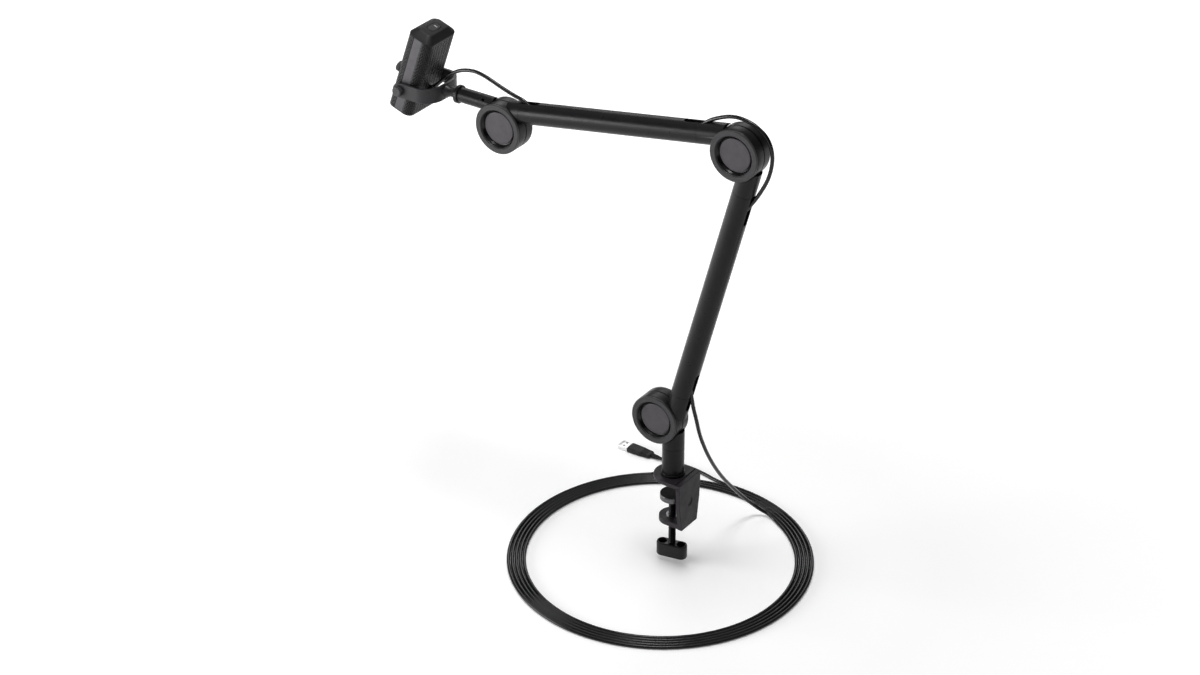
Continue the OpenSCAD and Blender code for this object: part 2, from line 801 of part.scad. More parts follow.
lead_tail();
plug_body();
plug_shell();
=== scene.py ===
"""Condenser microphone on a jointed desk arm: the looks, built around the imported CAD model."""
import json
import math

import bmesh
import bpy
import numpy as np
from mathutils import Matrix, Vector


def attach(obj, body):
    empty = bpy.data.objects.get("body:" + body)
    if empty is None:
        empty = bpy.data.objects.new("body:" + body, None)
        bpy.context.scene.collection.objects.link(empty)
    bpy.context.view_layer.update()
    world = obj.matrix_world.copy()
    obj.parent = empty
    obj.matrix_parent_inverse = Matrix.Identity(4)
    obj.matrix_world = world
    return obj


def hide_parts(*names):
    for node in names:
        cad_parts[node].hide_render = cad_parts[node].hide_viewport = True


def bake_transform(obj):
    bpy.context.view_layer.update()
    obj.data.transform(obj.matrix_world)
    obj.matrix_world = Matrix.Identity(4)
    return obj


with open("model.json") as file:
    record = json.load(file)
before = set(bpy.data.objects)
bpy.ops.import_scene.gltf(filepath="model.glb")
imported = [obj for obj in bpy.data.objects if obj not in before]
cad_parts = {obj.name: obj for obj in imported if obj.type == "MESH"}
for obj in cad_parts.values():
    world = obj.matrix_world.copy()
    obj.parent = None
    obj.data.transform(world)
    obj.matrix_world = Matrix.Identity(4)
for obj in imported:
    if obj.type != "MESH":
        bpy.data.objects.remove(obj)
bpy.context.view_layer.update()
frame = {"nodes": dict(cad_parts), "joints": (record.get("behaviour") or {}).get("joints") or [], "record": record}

# ---------------------------------------------------------------- places, in metres
MM = 0.001
FLOOR_Z = -0.104                     # the surface that the lead lies on
JOINTS = {j["name"]: j for j in frame["joints"]}
SHOULDER, ELBOW, WRIST, TILT = (
    Vector(JOINTS[n]["pos_m"]) for n in ("shoulder", "elbow", "wrist_pitch", "mic_tilt")
)
MIC_LEAN = math.radians(19)          # top of the microphone towards the arm
MIC_THICK, MIC_WIDE, MIC_CORNER = 30 * MM, 48 * MM, 8 * MM
MIC_LOW, MIC_HIGH = -33 * MM, 72 * MM
CAP_EDGE = 7 * MM
GRILLE_LOW, GRILLE_HIGH = MIC_LOW + CAP_EDGE, MIC_HIGH - CAP_EDGE
STRIP_HALF = 5 * MM
MIC_FRAME = (
    Matrix.Translation(TILT)
    @ Matrix.Rotation(MIC_LEAN, 4, "Y")
    @ Matrix.Translation((2.5 * MM, 0, 0))
)
LEAD_D = 4 * MM

# ---------------------------------------------------------------- camera
LENS = 88.0
camera = bpy.data.objects.new("camera", bpy.data.cameras.new("camera"))
bpy.context.scene.collection.objects.link(camera)
bpy.context.scene.camera = camera
camera.data.sensor_width = 36.0
camera.data.lens = LENS
camera.data.clip_start, camera.data.clip_end = 0.1, 50
camera.location = (1.4040, -2.1722, 1.6737)
camera.rotation_euler = (math.radians(59.81), 0, math.radians(34.57))


# ---------------------------------------------------------------- materials
class Shader:
    """A Principled material with helpers for its procedural detail."""

    NOISE_ROUGHNESS = 0.55
    RAMP_ENDS = (0.32, 0.68)

    def __init__(self, name):
        self.material = bpy.data.materials.new(name)
        self.material.use_nodes = True
        self.nodes = self.material.node_tree.nodes
        self.links = self.material.node_tree.links
        self.bsdf = self.nodes["Principled BSDF"]
        self.coords = self.nodes.new("ShaderNodeTexCoord").outputs["Object"]
        self.height = None

    def set(self, **values):
        for key, value in values.items():
            self.bsdf.inputs[key.replace("_", " ")].default_value = value
        return self

    def stretched(self, scale):
        mapping = self.nodes.new("ShaderNodeMapping")
        mapping.inputs["Scale"].default_value = scale
        self.links.new(self.coords, mapping.inputs["Vector"])
        return mapping.outputs["Vector"]

    def noise(self, size, detail=3.0, stretch=None):
        """Noise whose spots are about size metres across."""
        node = self.nodes.new("ShaderNodeTexNoise")
        node.inputs["Scale"].default_value = 1.0 / size
        node.inputs["Detail"].default_value = detail
        node.inputs["Roughness"].default_value = self.NOISE_ROUGHNESS
        where = self.stretched(stretch) if stretch else self.coords
        self.links.new(where, node.inputs["Vector"])
        return node.outputs["Fac"]

    def cells(self, size):
        node = self.nodes.new("ShaderNodeTexVoronoi")
        node.inputs["Scale"].default_value = 1.0 / size
        self.links.new(self.coords, node.inputs["Vector"])
        return node.outputs["Distance"]

    def remap(self, value, low, high, start=0.3, stop=0.7):
        """Turns start..stop into low..high."""
        node = self.nodes.new("ShaderNodeMapRange")
        node.inputs["From Min"].default_value = start
        node.inputs["From Max"].default_value = stop
        node.inputs["To Min"].default_value = low
        node.inputs["To Max"].default_value = high
        self.links.new(value, node.inputs["Value"])
        return node.outputs["Result"]

    def colours(self, value, dark, light):
        ramp = self.nodes.new("ShaderNodeValToRGB")
        for stop, position, colour in zip(ramp.color_ramp.elements, self.RAMP_ENDS, (dark, light)):
            stop.position = position
            stop.color = (*colour, 1)
        self.links.new(value, ramp.inputs["Fac"])
        self.links.new(ramp.outputs["Color"], self.bsdf.inputs["Base Color"])
        return self

    def roughness(self, value, low, high):
        self.links.new(self.remap(value, low, high), self.bsdf.inputs["Roughness"])
        return self

    def bump(self, value, depth, strength=1.0):
        node = self.nodes.new("ShaderNodeBump")
        node.inputs["Strength"].default_value = strength
        node.inputs["Distance"].default_value = depth
        self.links.new(value, node.inputs["Height"])
        if self.height is not None:
            self.links.new(self.height, node.inputs["Normal"])
        self.height = node.outputs["Normal"]
        self.links.new(self.height, self.bsdf.inputs["Normal"])
        return self


def powder_coat(name, shade, grain=0.35 * MM, rough=(0.42, 0.56), shine=0.28):
    """Fine black powder coat: orange-peel grain, and broad patches that shine a little more."""
    s = Shader(name).set(Specular_IOR_Level=shine)
    s.colours(s.noise(14 * MM), [c * 0.86 for c in shade], [c * 1.16 for c in shade])
    s.roughness(s.noise(9 * MM, 4), *rough)
    s.bump(s.noise(grain, 2), 0.035 * MM, 0.55)
    return s.material


def moulded(name, shade, rough=(0.45, 0.6), grain=0.22 * MM, depth=0.02 * MM, shine=0.28):
    """Moulded plastic with a spark-eroded grain."""
    s = Shader(name).set(Specular_IOR_Level=shine)
    s.colours(s.noise(11 * MM), [c * 0.9 for c in shade], [c * 1.1 for c in shade])
    s.roughness(s.noise(5 * MM, 4), *rough)
    s.bump(s.cells(grain), depth, 0.4)
    s.bump(s.noise(6 * MM, 2), 0.03 * MM, 0.25)
    return s.material


def turned_steel(name, shade, rough=(0.22, 0.38), stretch=(1, 1, 14), metallic=1.0):
    """Machined steel with fine turning marks."""
    s = Shader(name).set(Metallic=metallic)
    s.colours(s.noise(2 * MM, 4), [c * 0.94 for c in shade], [c * 1.05 for c in shade])
    s.roughness(s.noise(1.2 * MM, 3, stretch), *rough)
    s.bump(s.noise(0.5 * MM, 2, stretch), 0.012 * MM, 0.5)
    return s.material


def jacket(name, shade):
    """Soft PVC jacket of a lead: nearly smooth, with faint scuffs."""
    s = Shader(name).set(Specular_IOR_Level=0.32)
    s.colours(s.noise(7 * MM), [c * 0.85 for c in shade], [c * 1.2 for c in shade])
    s.roughness(s.noise(3 * MM, 4), 0.18, 0.27)
    s.bump(s.noise(0.5 * MM, 3), 0.03 * MM, 0.3)
    return s.material


def rubber(name, shade):
    s = Shader(name).set(Specular_IOR_Level=0.3)
    s.colours(s.noise(4 * MM), [c * 0.8 for c in shade], [c * 1.25 for c in shade])
    s.roughness(s.noise(2 * MM), 0.68, 0.86)
    s.bump(s.noise(0.4 * MM, 3), 0.05 * MM, 0.5)
    return s.material


def board_green(name):
    s = Shader(name).set(Roughness=0.3)
    s.colours(s.noise(1.2 * MM, 1, (1, 3, 1)), (0.01, 0.07, 0.03), (0.03, 0.16, 0.07))
    s.bump(s.noise(1 * MM, 1), 0.05 * MM, 0.4)
    return s.material


def lens_white(name):
    s = Shader(name).set(Transmission_Weight=0.25, Roughness=0.3)
    s.colours(s.noise(1.5 * MM), (0.42, 0.42, 0.41), (0.55, 0.55, 0.54))
    return s.material


ARM = powder_coat("arm_paint", (0.0065, 0.0061, 0.0068), rough=(0.26, 0.36), shine=0.19)
CLAMP = powder_coat("clamp_paint", (0.016, 0.0125, 0.0162))
YOKE = powder_coat("yoke_paint", (0.022, 0.021, 0.0235), rough=(0.34, 0.46))
FRAME_PAINT = powder_coat("mic_frame_paint", (0.075, 0.071, 0.079), rough=(0.34, 0.46))
GRILLE = powder_coat("grille_paint", (0.018, 0.0177, 0.0186), grain=0.2 * MM,
                     rough=(0.24, 0.34), shine=0.2)
HUB = moulded("hub_plastic", (0.0065, 0.0062, 0.0067), (0.3, 0.4), shine=0.2)
COVER = moulded("cover_plastic", (0.036, 0.0345, 0.037), (0.3, 0.4))
# The cover plastic painted lighter for the centre disc: painted light on its flat face, not a different plastic
DISC_PAINTED_LIGHT = moulded("disc_plastic_painted_light", (0.062, 0.056, 0.064), (0.3, 0.4))
# The cover plastic painted near black for the recess: painted shade, not a different plastic
RECESS_PAINTED_SHADE = moulded("recess_plastic_painted_shade", (0.0035, 0.0035, 0.0037), (0.2, 0.28))
CAP = moulded("cap_plastic", (0.006, 0.0058, 0.0062))
BUTTON = moulded("button_plastic", (0.02, 0.02, 0.021), (0.34, 0.45))
HANDLE = moulded("handle_plastic", (0.0045, 0.0045, 0.0048), (0.28, 0.38))
KNOB = moulded("knob_plastic", (0.045, 0.044, 0.047), (0.36, 0.5))
PLUG = moulded("plug_moulding", (0.0065, 0.0065, 0.0068), (0.42, 0.55))
STEEL = turned_steel("bare_steel", (0.13, 0.13, 0.135))
SPRING = turned_steel("spring_steel", (0.25, 0.25, 0.27))
BLACK_STEEL = turned_steel("black_steel", (0.022, 0.021, 0.023), (0.26, 0.4))
NICKEL = turned_steel("plug_metal", (0.74, 0.74, 0.755), (0.26, 0.36), (1, 6, 6), metallic=0.7)
BRASS = turned_steel("brass", (0.62, 0.44, 0.18))
GOLD = turned_steel("capsule_gold", (0.8, 0.58, 0.25), (0.2, 0.3))
RUBBER = rubber("pad_rubber", (0.009, 0.009, 0.0095))
MOUNT_RUBBER = rubber("capsule_rubber", (0.004, 0.004, 0.004))
LEAD = jacket("lead_jacket", (0.0045, 0.0044, 0.0047))
BOARD = board_green("circuit_green")
LENS_WHITE = lens_white("light_lens")


# ---------------------------------------------------------------- mesh helpers
SHARP = 35                           # degrees between faces that keep a sharp edge


def outward_mesh(name, verts, faces):
    """A mesh from points and faces, its faces turned outwards."""
    mesh = bpy.data.meshes.new(name)
    mesh.from_pydata([tuple(v) for v in verts], [], faces)
    mesh.validate()
    made = bmesh.new()
    made.from_mesh(mesh)
    bmesh.ops.recalc_face_normals(made, faces=made.faces)
    made.to_mesh(mesh)
    made.free()
    return mesh


def piece(name, verts, faces, material, slot, sharp=SHARP):
    """A mesh object from points and faces, shaded smooth up to the sharp angle."""
    mesh = outward_mesh(name, verts, faces)
    mesh.polygons.foreach_set("use_smooth", [True] * len(mesh.polygons))
    mesh.set_sharp_from_angle(angle=math.radians(sharp))
    obj = bpy.data.objects.new(name, mesh)
    bpy.context.scene.collection.objects.link(obj)
    mesh.materials.append(material)
    return obj


def placed(points, matrix):
    return [matrix @ Vector(p) for p in points]


def round_rect(wide_x, wide_y, radius, per_corner=6, centre=(0, 0)):
    """Points round a rectangle with round corners, the same number for any size."""
    points = []
    for quarter in range(4):
        cx = (wide_x / 2 - radius) * (1, -1, -1, 1)[quarter] + centre[0]
        cy = (wide_y / 2 - radius) * (1, 1, -1, -1)[quarter] + centre[1]
        for k in range(per_corner + 1):
            a = math.pi / 2 * (quarter + k / per_corner)
            points.append((cx + radius * math.cos(a), cy + radius * math.sin(a)))
    return points


def loft(rings, closed=False, caps=(True, True)):
    """Points and faces of a skin through rings that have equal numbers of points."""
    n = len(rings[0])
    verts = [p for ring in rings for p in ring]
    faces = []
    spans = len(rings) if closed else len(rings) - 1
    for i in range(spans):
        a, b = i * n, (i + 1) % len(rings) * n
        faces += [(a + k, a + (k + 1) % n, b + (k + 1) % n, b + k) for k in range(n)]
    if not closed and caps[0]:
        faces.append(tuple(reversed(range(n))))
    if not closed and caps[1]:
        faces.append(tuple(range((len(rings) - 1) * n, len(rings) * n)))
    return verts, faces


def turned(profile, matrix, sides=64, teeth=0, groove=0.0, grip=0.0):
    """A lathe shape round Z. Points of the profile beyond radius grip get grooves."""
    rings = []
    for r, z in profile:
        ring = []
        for k in range(sides):
            a = 2 * math.pi * k / sides
            cut = 0.0
            if teeth and r > grip:
                cut = groove * max(0.0, math.cos(teeth * a)) ** 1.5
            ring.append((max(r - cut, 1e-6) * math.cos(a), max(r - cut, 1e-6) * math.sin(a), z))
        rings.append(placed(ring, matrix))
    return loft(rings)


def rounded_profile(points, radius, steps=4):
    """The (r, z) outline with its inner corners turned into small arcs."""
    out = [points[0]]
    for before, corner, after in zip(points, points[1:], points[2:]):
        b, c, a = Vector(before), Vector(corner), Vector(after)
        to_b, to_a = (b - c), (a - c)
        reach = min(radius, 0.45 * to_b.length, 0.45 * to_a.length)
        p, q = c + to_b.normalized() * reach, c + to_a.normalized() * reach
        for k in range(steps + 1):
            t = k / steps
            out.append(tuple((1 - t) ** 2 * p + 2 * t * (1 - t) * c + t * t * q))
    out.append(points[-1])
    return out


def subtract(obj, mesh):
    """Cuts the closed shape of a mesh out of a piece."""
    cutter = bpy.data.objects.new("cutter", mesh)
    bpy.context.scene.collection.objects.link(cutter)
    cut = obj.modifiers.new("cut", "BOOLEAN")
    cut.object = cutter
    cut.solver = "EXACT"
    bpy.context.view_layer.update()
    depsgraph = bpy.context.evaluated_depsgraph_get()
    final = bpy.data.meshes.new_from_object(obj.evaluated_get(depsgraph))
    obj.modifiers.clear()
    obj.data = final
    bpy.data.objects.remove(cutter)


def cut_boxes(obj, boxes):
    """Cuts boxes, each a low and a high corner, out of a piece."""
    made = bmesh.new()
    for low, high in boxes:
        low, high = Vector(low), Vector(high)
        place = Matrix.Translation((low + high) / 2) @ Matrix.Diagonal((*(high - low), 1))
        bmesh.ops.create_cube(made, size=1.0, matrix=place)
    mesh = bpy.data.meshes.new("cutter")
    made.to_mesh(mesh)
    made.free()
    subtract(obj, mesh)


def cut_shape(obj, verts, faces):
    """Cuts a closed shape out of a piece and marks the sharp edges again."""
    subtract(obj, outward_mesh("cutter", verts, faces))
    obj.data.set_sharp_from_angle(angle=math.radians(SHARP))


# ---------------------------------------------------------------- lead
def mm(points):
    return [Vector(p) * MM for p in points]


# The route of the lead, from where it leaves the microphone to the plug
WRIST_ROUTE = mm([
    (-299, 0, 372.5), (-292, 0, 379.5), (-284.5, 0, 386.5), (-276, 0, 393), (-267, 0, 398),
    (-257, 0, 401), (-247, 0, 402), (-237, 0, 400.5), (-227, 0, 397.5), (-217, 0, 394),
    (-207, 0, 390.8), (-197, 0, 388), (-187.5, 0, 385.8), (-178.5, 0, 381), (-170.5, 0, 378.2),
    (-163, 0, 377.2), (-155.2, 0, 378.5),
])
ELBOW_ROUTE = mm([
    (6.9, 0, 407.2), (13.5, 0, 409), (21, 0, 413.4), (29.5, 0, 420), (39, 0, 426.8),
    (49, 0, 431.8), (59, 0, 435.5), (68, 0, 437), (77, 0, 436.5), (85, 0, 434.7), (93, 0, 431),
    (99.5, 0, 426.5), (104.5, 0, 420), (107.5, 0, 412), (108.5, 0, 404), (108, 0, 396),
    (106.5, 0, 388), (104, 0, 380), (100.5, 0, 372), (96, 0, 363.5), (91, 0, 355),
    (84.5, 0, 345.5), (78.3, 0, 337), (73, 0, 329), (69.3, 0, 321.8), (66.4, 0, 314.8),
])
DROP_ROUTE = mm([
    (21.7, 0, 148), (19.9, 0, 140.5), (18.9, 0, 132), (19, 0, 123), (20.2, 0, 112.5),
    (22, 0.3, 102), (23.5, 1, 92), (24.8, 3, 82), (25.2, 5.5, 73), (25.2, 9, 62),
    (25, 13.5, 51), (24.7, 19, 40), (24.3, 25, 29), (24, 31.5, 18), (23.6, 38, 8),
    (23.2, 45, -2), (22.6, 52.5, -12), (22, 60.5, -22), (21.4, 69, -32), (21, 77.5, -41.5),
    (20.9, 86, -51), (21, 94.5, -60.5), (21.9, 102.5, -69.5), (23.5, 110, -78),
    (26, 116.5, -85.5), (29.5, 121.5, -91.5), (34.5, 125, -96.2), (41, 127, -99.3),
    (49, 125.5, -101.4),
])
TAIL_ROUTE = mm([
    (-35, 153.6, -102), (-46, 155, -102), (-57, 157.3, -102), (-68, 159, -102),
    (-79, 159.8, -102), (-90, 159.2, -102), (-100, 157.4, -101.8), (-107.5, 156, -101.2),
    (-113, 155.3, -100.8), (-118.8, 155.3, -100.8),
])
COIL_CENTRE = Vector((-9.5, -5.9, -102)) * MM
COIL_START = math.radians(62)
COIL_R, COIL_PITCH = 143.7 * MM, 4.2 * MM
TURN_BACK = math.radians(122.9)      # where the lead doubles back, hidden behind the post
BACK_R = 8.5 * MM
TURN_STEPS, OUTER_STEPS = 120, 110   # points on an inner turn, and on the outer one
OUTER_STOP = math.radians(95 + 360)  # where the outer turn runs out into the tail
OUTER_DRIFT = 4 * MM                 # how far the outer turn closes in on its way


def smooth_line(points, step):
    """Points about a step apart on a smooth curve through the given ones."""
    p = np.array([tuple(q) for q in points])
    p = np.vstack([2 * p[0] - p[1], p, 2 * p[-1] - p[-2]])
    out = []
    for i in range(1, len(p) - 2):
        a, b, c, d = p[i - 1], p[i], p[i + 1], p[i + 2]
        ta, tb, tc = (np.linalg.norm(v) ** 0.5 for v in (b - a, c - b, d - c))
        m1 = (c - b) / tb - (c - a) / (ta + tb) + (b - a) / ta
        m2 = (d - c) / tc - (d - b) / (tb + tc) + (c - b) / tb
        m1, m2 = m1 * tb, m2 * tb
        steps = max(2, round(np.linalg.norm(c - b) / step))
        for k in range(steps):
            t = k / steps
            out.append(
                (2 * t**3 - 3 * t**2 + 1) * b + (t**3 - 2 * t**2 + t) * m1
                + (3 * t**2 - 2 * t**3) * c + (t**3 - t**2) * m2
            )
    out.append(p[-2])
    return [Vector(q) for q in out]


def on_coil(angle, radius):
    return COIL_CENTRE + Vector((math.cos(angle), math.sin(angle), 0)) * radius


def coil_line():
    """Turns laid side by side clockwise, the turn back, and one outer turn the other way."""
    line = []
    sweep = COIL_START + 4 * 2 * math.pi - TURN_BACK
    turns = sweep / (2 * math.pi)
    last_r = COIL_R + COIL_PITCH * turns
    steps = round(turns * TURN_STEPS)
    for k in range(steps):
        radius = COIL_R + COIL_PITCH * turns * k / steps
        line.append(on_coil(COIL_START - sweep * k / steps, radius))
    # the turn back: u runs along the ring, v outwards from the last turn
    reach = 2.5 * MM
    bends = []
    for k in range(13):
        a = math.pi * k / 12
        bends.append((reach + BACK_R * math.sin(a), BACK_R * (1 - math.cos(a))))
    shift = 2 * BACK_R - COIL_PITCH
    steep = math.acos(1 - shift / (2 * BACK_R))
    for k in range(1, 9):
        a = steep * k / 8
        bends.append((reach - BACK_R * math.sin(a), 2 * BACK_R - BACK_R * (1 - math.cos(a))))
    end_u = reach - 2 * BACK_R * math.sin(steep)
    for k in range(7, -1, -1):
        a = steep * k / 8
        bends.append((end_u + BACK_R * math.sin(a), COIL_PITCH + BACK_R * (1 - math.cos(a))))
    for u, v in bends:
        line.append(on_coil(TURN_BACK - u / (last_r + COIL_PITCH / 2), last_r + v))
    # the outer turn
    start = TURN_BACK - end_u / (last_r + COIL_PITCH / 2)
    for k in range(1, OUTER_STEPS + 1):
        t = k / OUTER_STEPS
        radius = last_r + COIL_PITCH - OUTER_DRIFT * t
        line.append(on_coil(start + (OUTER_STOP - start) * t, radius))
    return line


def heading(line, i):
    return (line[min(i + 1, len(line) - 1)] - line[max(i - 1, 0)]).normalized()


def lead_frames(line):
    """A pair of directions across the lead at each point, turned as little as possible."""
    normal = Vector((0, 1, 0))
    frames = []
    for i in range(len(line)):
        t = heading(line, i)
        if abs(normal.dot(t)) > 0.99:
            normal = Vector((0, 0, 1))
        normal = (normal - t * normal.dot(t)).normalized()
        frames.append((normal.copy(), t.cross(normal)))
    return frames


LEAD_SIDES = 14
LEAD_STEP = 1.6 * MM                 # between the rings of the fitted routes


def lead_piece(name, line, frames, start, stop):
    """The stretch of the lead between two of its points, as a closed tube."""
    rings = []
    angles = [2 * math.pi * k / LEAD_SIDES for k in range(LEAD_SIDES)]
    for c, (n, b) in list(zip(line, frames))[start:stop + 1]:
        rings.append([c + (n * math.cos(a) + b * math.sin(a)) * (LEAD_D / 2) for a in angles])
    return piece(name, *loft(rings), LEAD, "lead_jacket", sharp=70)


def nearest(line, point):
    return min(range(len(line)), key=lambda i: (line[i] - Vector(point) * MM).length)


def make_wrist_lead():
    line = smooth_line(WRIST_ROUTE, LEAD_STEP)
    frames = lead_frames(line)
    cuts = [0, nearest(line, (-272, 0, 395.5)), nearest(line, (-238, 0, 401)), len(line) - 1]
    zones = [
        ("mic", "yoke", (-298, 0, 373.5), (-281, 0, 389.3)),
        ("yoke", "wrist", (-270, 0, 396.6), (-240, 0, 401.2)),
        ("wrist", "upper_arm", (-234, 0, 399.8), (-194, 0, 387)),
    ]
    for n, (a, b, first, last) in enumerate(zones):
        obj = lead_piece(f"wrist_lead_{n + 1}", line, frames, cuts[n], cuts[n + 1])
        if n == 0:
            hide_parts("wrist_lead")
        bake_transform(obj)


def make_elbow_lead():
    line = smooth_line(ELBOW_ROUTE, LEAD_STEP)
    obj = lead_piece("elbow_lead_loop", line, lead_frames(line), 0, len(line) - 1)
    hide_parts("elbow_lead")
    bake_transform(obj)


def make_drop_and_coil(plug_pieces):
    drop = smooth_line(DROP_ROUTE, LEAD_STEP)
    first_turn = on_coil(COIL_START, COIL_R)
    coil = coil_line()
    tail = smooth_line([coil[-2], coil[-1], *TAIL_ROUTE], 3 * MM)
    start = next(i for i, p in enumerate(tail) if (p - coil[-1]).length < 1e-6)
    landing = smooth_line([DROP_ROUTE[-2], DROP_ROUTE[-1], first_turn, coil[2]], 3 * MM)
    landing = landing[nearest(landing, DROP_ROUTE[-1] / MM) + 1:nearest(landing, first_turn / MM)]
    line = drop + landing + coil + tail[start + 1:]
    frames = lead_frames(line)
    cuts = [0, nearest(line, (25, 13.5, 51)), nearest(line, (21.4, 69, -32)), len(line) - 1]
    zones = [
        ("lower_arm", "post", (21, 0, 108), (25, 10.5, 58)),
        ("post", "clamp", (25, 20, 42), (25, 20, 9)),
    ]
    for n, (a, b, first, last) in enumerate(zones):
        obj = lead_piece(f"drop_lead_{n + 1}", line, frames, cuts[n], cuts[n + 1])
        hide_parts(("drop_lead_upper", "drop_lead_lower")[n])
        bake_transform(obj)
    obj = lead_piece("coiled_lead", line, frames, cuts[2], cuts[3])
    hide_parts("lead_coil", "lead_tail")
    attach(obj, "clamp")


PLUG_AT = Vector((-129, 155.3, -100.8)) * MM
PLUG_FRAME = Matrix.Translation(PLUG_AT) @ Matrix.Rotation(math.radians(-90), 4, "Y")
PLUG_T, PLUG_W = 6.4 * MM, 14 * MM
CONTACT_T = 0.15 * MM


def make_plug():
    def ring(inset, z):
        taper = 0.8 + 0.2 * min(1.0, z / (17 * MM))
        shape = round_rect(taper * (PLUG_T - 2 * inset), taper * (PLUG_W - 2 * inset),
                           1.7 * MM - inset * 0.5)
        return placed([(x, y, z) for x, y in shape], PLUG_FRAME)

    steps = [(1.3, 0), (0.5, 0.35), (0.15, 1.0), (0, 2.2)]
    for rib in range(5):
        z = 4 + rib * 1.7
        steps += [(0, z), (0.4, z + 0.35), (0.4, z + 0.85), (0, z + 1.2)]
    steps += [(0, 14), (0.12, 20), (0.05, 27), (0.1, 29), (0.35, 29.7), (0.9, 30)]
    rings = [ring(inset * MM, z * MM) for inset, z in steps]
    body = piece("plug_moulding", *loft(rings), PLUG, "plug_moulding")
    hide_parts("plug_body")
    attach(body, "clamp")

    boot = [(0.2, -10), (2.25, -10), (2.35, -9.6)]
    for k in range(4):
        z = -9 + 2.1 * k
        r = 2.45 + 0.18 * k
        boot += [(r, z), (r, z + 1.1), (r - 0.45, z + 1.35), (r - 0.45, z + 1.85)]
    boot += [(3.15, -0.6), (3.2, 0.6), (0.2, 0.6)]
    profile = [(r * MM, z * MM) for r, z in boot]
    relief = piece("plug_strain_relief", *turned(profile, PLUG_FRAME, 32), PLUG, "plug_moulding")
    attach(relief, "clamp")

    def shell_ring(inset, z):
        shape = round_rect(4.5 * MM - 2 * inset, 12 * MM - 2 * inset, 0.55 * MM - inset * 0.6)
        return placed([(x, y, z) for x, y in shape], PLUG_FRAME)

    near, far = 29.6 * MM, 42 * MM
    wall = 0.3 * MM
    rings = [shell_ring(0, near), shell_ring(0, far - 0.15 * MM), shell_ring(0.08 * MM, far),
             shell_ring(wall, far - 0.05 * MM), shell_ring(wall, near + 0.4 * MM)]
    shell = piece("plug_shell_metal", *loft(rings), NICKEL, "plug_metal")
    windows = []
    for side in (-1, 1):
        for face in (-1, 1):
            x = sorted((PLUG_AT.x - 34.5 * MM, PLUG_AT.x - 36.7 * MM))
            y = PLUG_AT.y + side * 2.9 * MM
            z = sorted((PLUG_AT.z + face * 1.9 * MM, PLUG_AT.z + face * 2.6 * MM))
            windows.append(((x[0], y - 1.1 * MM, z[0]), (x[1], y + 1.1 * MM, z[1])))
    cut_boxes(shell, windows)
    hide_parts("plug_shell")
    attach(shell, "clamp")

    rings = []
    for inset, z in ((0.2, 29.9), (0, 30), (0, 41.1), (0.2, 41.3)):
        shape = round_rect((1.8 - inset) * MM, (11.2 - inset) * MM, 0.2 * MM, centre=(0.95 * MM, 0))
        rings.append(placed([(x, y, z * MM) for x, y in shape], PLUG_FRAME))
    tongue = piece("plug_tongue", *loft(rings), CAP, "plug_moulding")
    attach(tongue, "clamp")
    contacts_v, contacts_f = [], []
    for across in (-3.5, -1.1, 1.1, 3.5):
        shape = round_rect(CONTACT_T, 1.0 * MM, 0.05 * MM, 2, (0.0, across * MM))
        v, f = loft([placed([(x, y, z * MM) for x, y in shape], PLUG_FRAME) for z in (32, 40)])
        contacts_f += [tuple(i + len(contacts_v) for i in face) for face in f]
        contacts_v += v
    contacts = piece("plug_contacts", contacts_v, contacts_f, GOLD, "capsule_gold")
    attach(contacts, "clamp")
    return [body, relief, shell, tongue, contacts]


make_wrist_lead()
make_elbow_lead()
make_drop_and_coil(make_plug())


# ---------------------------------------------------------------- CAD nodes that stay
MATERIALS = {
    "arm_paint": ARM, "hub_plastic": HUB, "cover_plastic": COVER, "clamp_paint": CLAMP,
    "bare_steel": STEEL, "spring_steel": SPRING, "black_steel": BLACK_STEEL,
    "handle_plastic": HANDLE, "pad_rubber": RUBBER, "yoke_paint": YOKE, "grille_paint": GRILLE,
    "mic_frame_paint": FRAME_PAINT, "cap_plastic": CAP, "button_plastic": BUTTON,
    "light_lens": LENS_WHITE, "brass": BRASS, "capsule_gold": GOLD,
    "capsule_rubber": MOUNT_RUBBER, "circuit_green": BOARD, "lead_jacket": LEAD,
    "plug_moulding": PLUG, "plug_metal": NICKEL,
}
for part in frame["record"]["subparts"]:
    mesh = frame["nodes"][part["node"]].data
    mesh.materials.clear()
    mesh.materials.append(MATERIALS[part["material_slot"]])

# Edges of the parts that are seen, eased by this many millimetres
EASED = {
    "clamp_bracket": 0.5, "swivel_spindle": 0.4, "clamp_nut": 0.4, "pressure_pad": 0.4,
    "post_bush": 0.4, "shoulder_rear_hub": 0.3, "shoulder_front_hub": 0.3,
    "elbow_rear_hub": 0.3, "elbow_front_hub": 0.3, "wrist_rear_hub": 0.3,
    "wrist_front_hub": 0.3, "lower_tube": 0.3, "upper_tube": 0.3, "post_tube": 0.3,
    "wrist_tube": 0.3, "yoke_frame": 0.5, "mic_frame": 0.3, "jaw_pad": 0.3,
}
for name, width in EASED.items():
    node = frame["nodes"][name]
    for layer in ("custom_normal", "sharp_face", "sharp_edge"):
        if layer in node.data.attributes:
            node.data.attributes.remove(node.data.attributes[layer])
    weld = node.modifiers.new("weld", "WELD")
    weld.merge_threshold = 0.005 * MM
    flat = node.modifiers.new("flat", "DECIMATE")
    flat.decimate_type = "DISSOLVE"
    flat.angle_limit = math.radians(0.3)
    ease = node.modifiers.new("ease", "BEVEL")
    ease.width = width * MM
    ease.segments = 2
    ease.limit_method = "ANGLE"
    ease.angle_limit = math.radians(40)
    ease.use_clamp_overlap = False
    ease.harden_normals = True
    node.data.polygons.foreach_set("use_smooth", [True] * len(node.data.polygons))


# ---------------------------------------------------------------- pivots
def facing(joint):
    return Matrix.Translation(joint) @ Matrix.Rotation(math.radians(90), 4, "X")


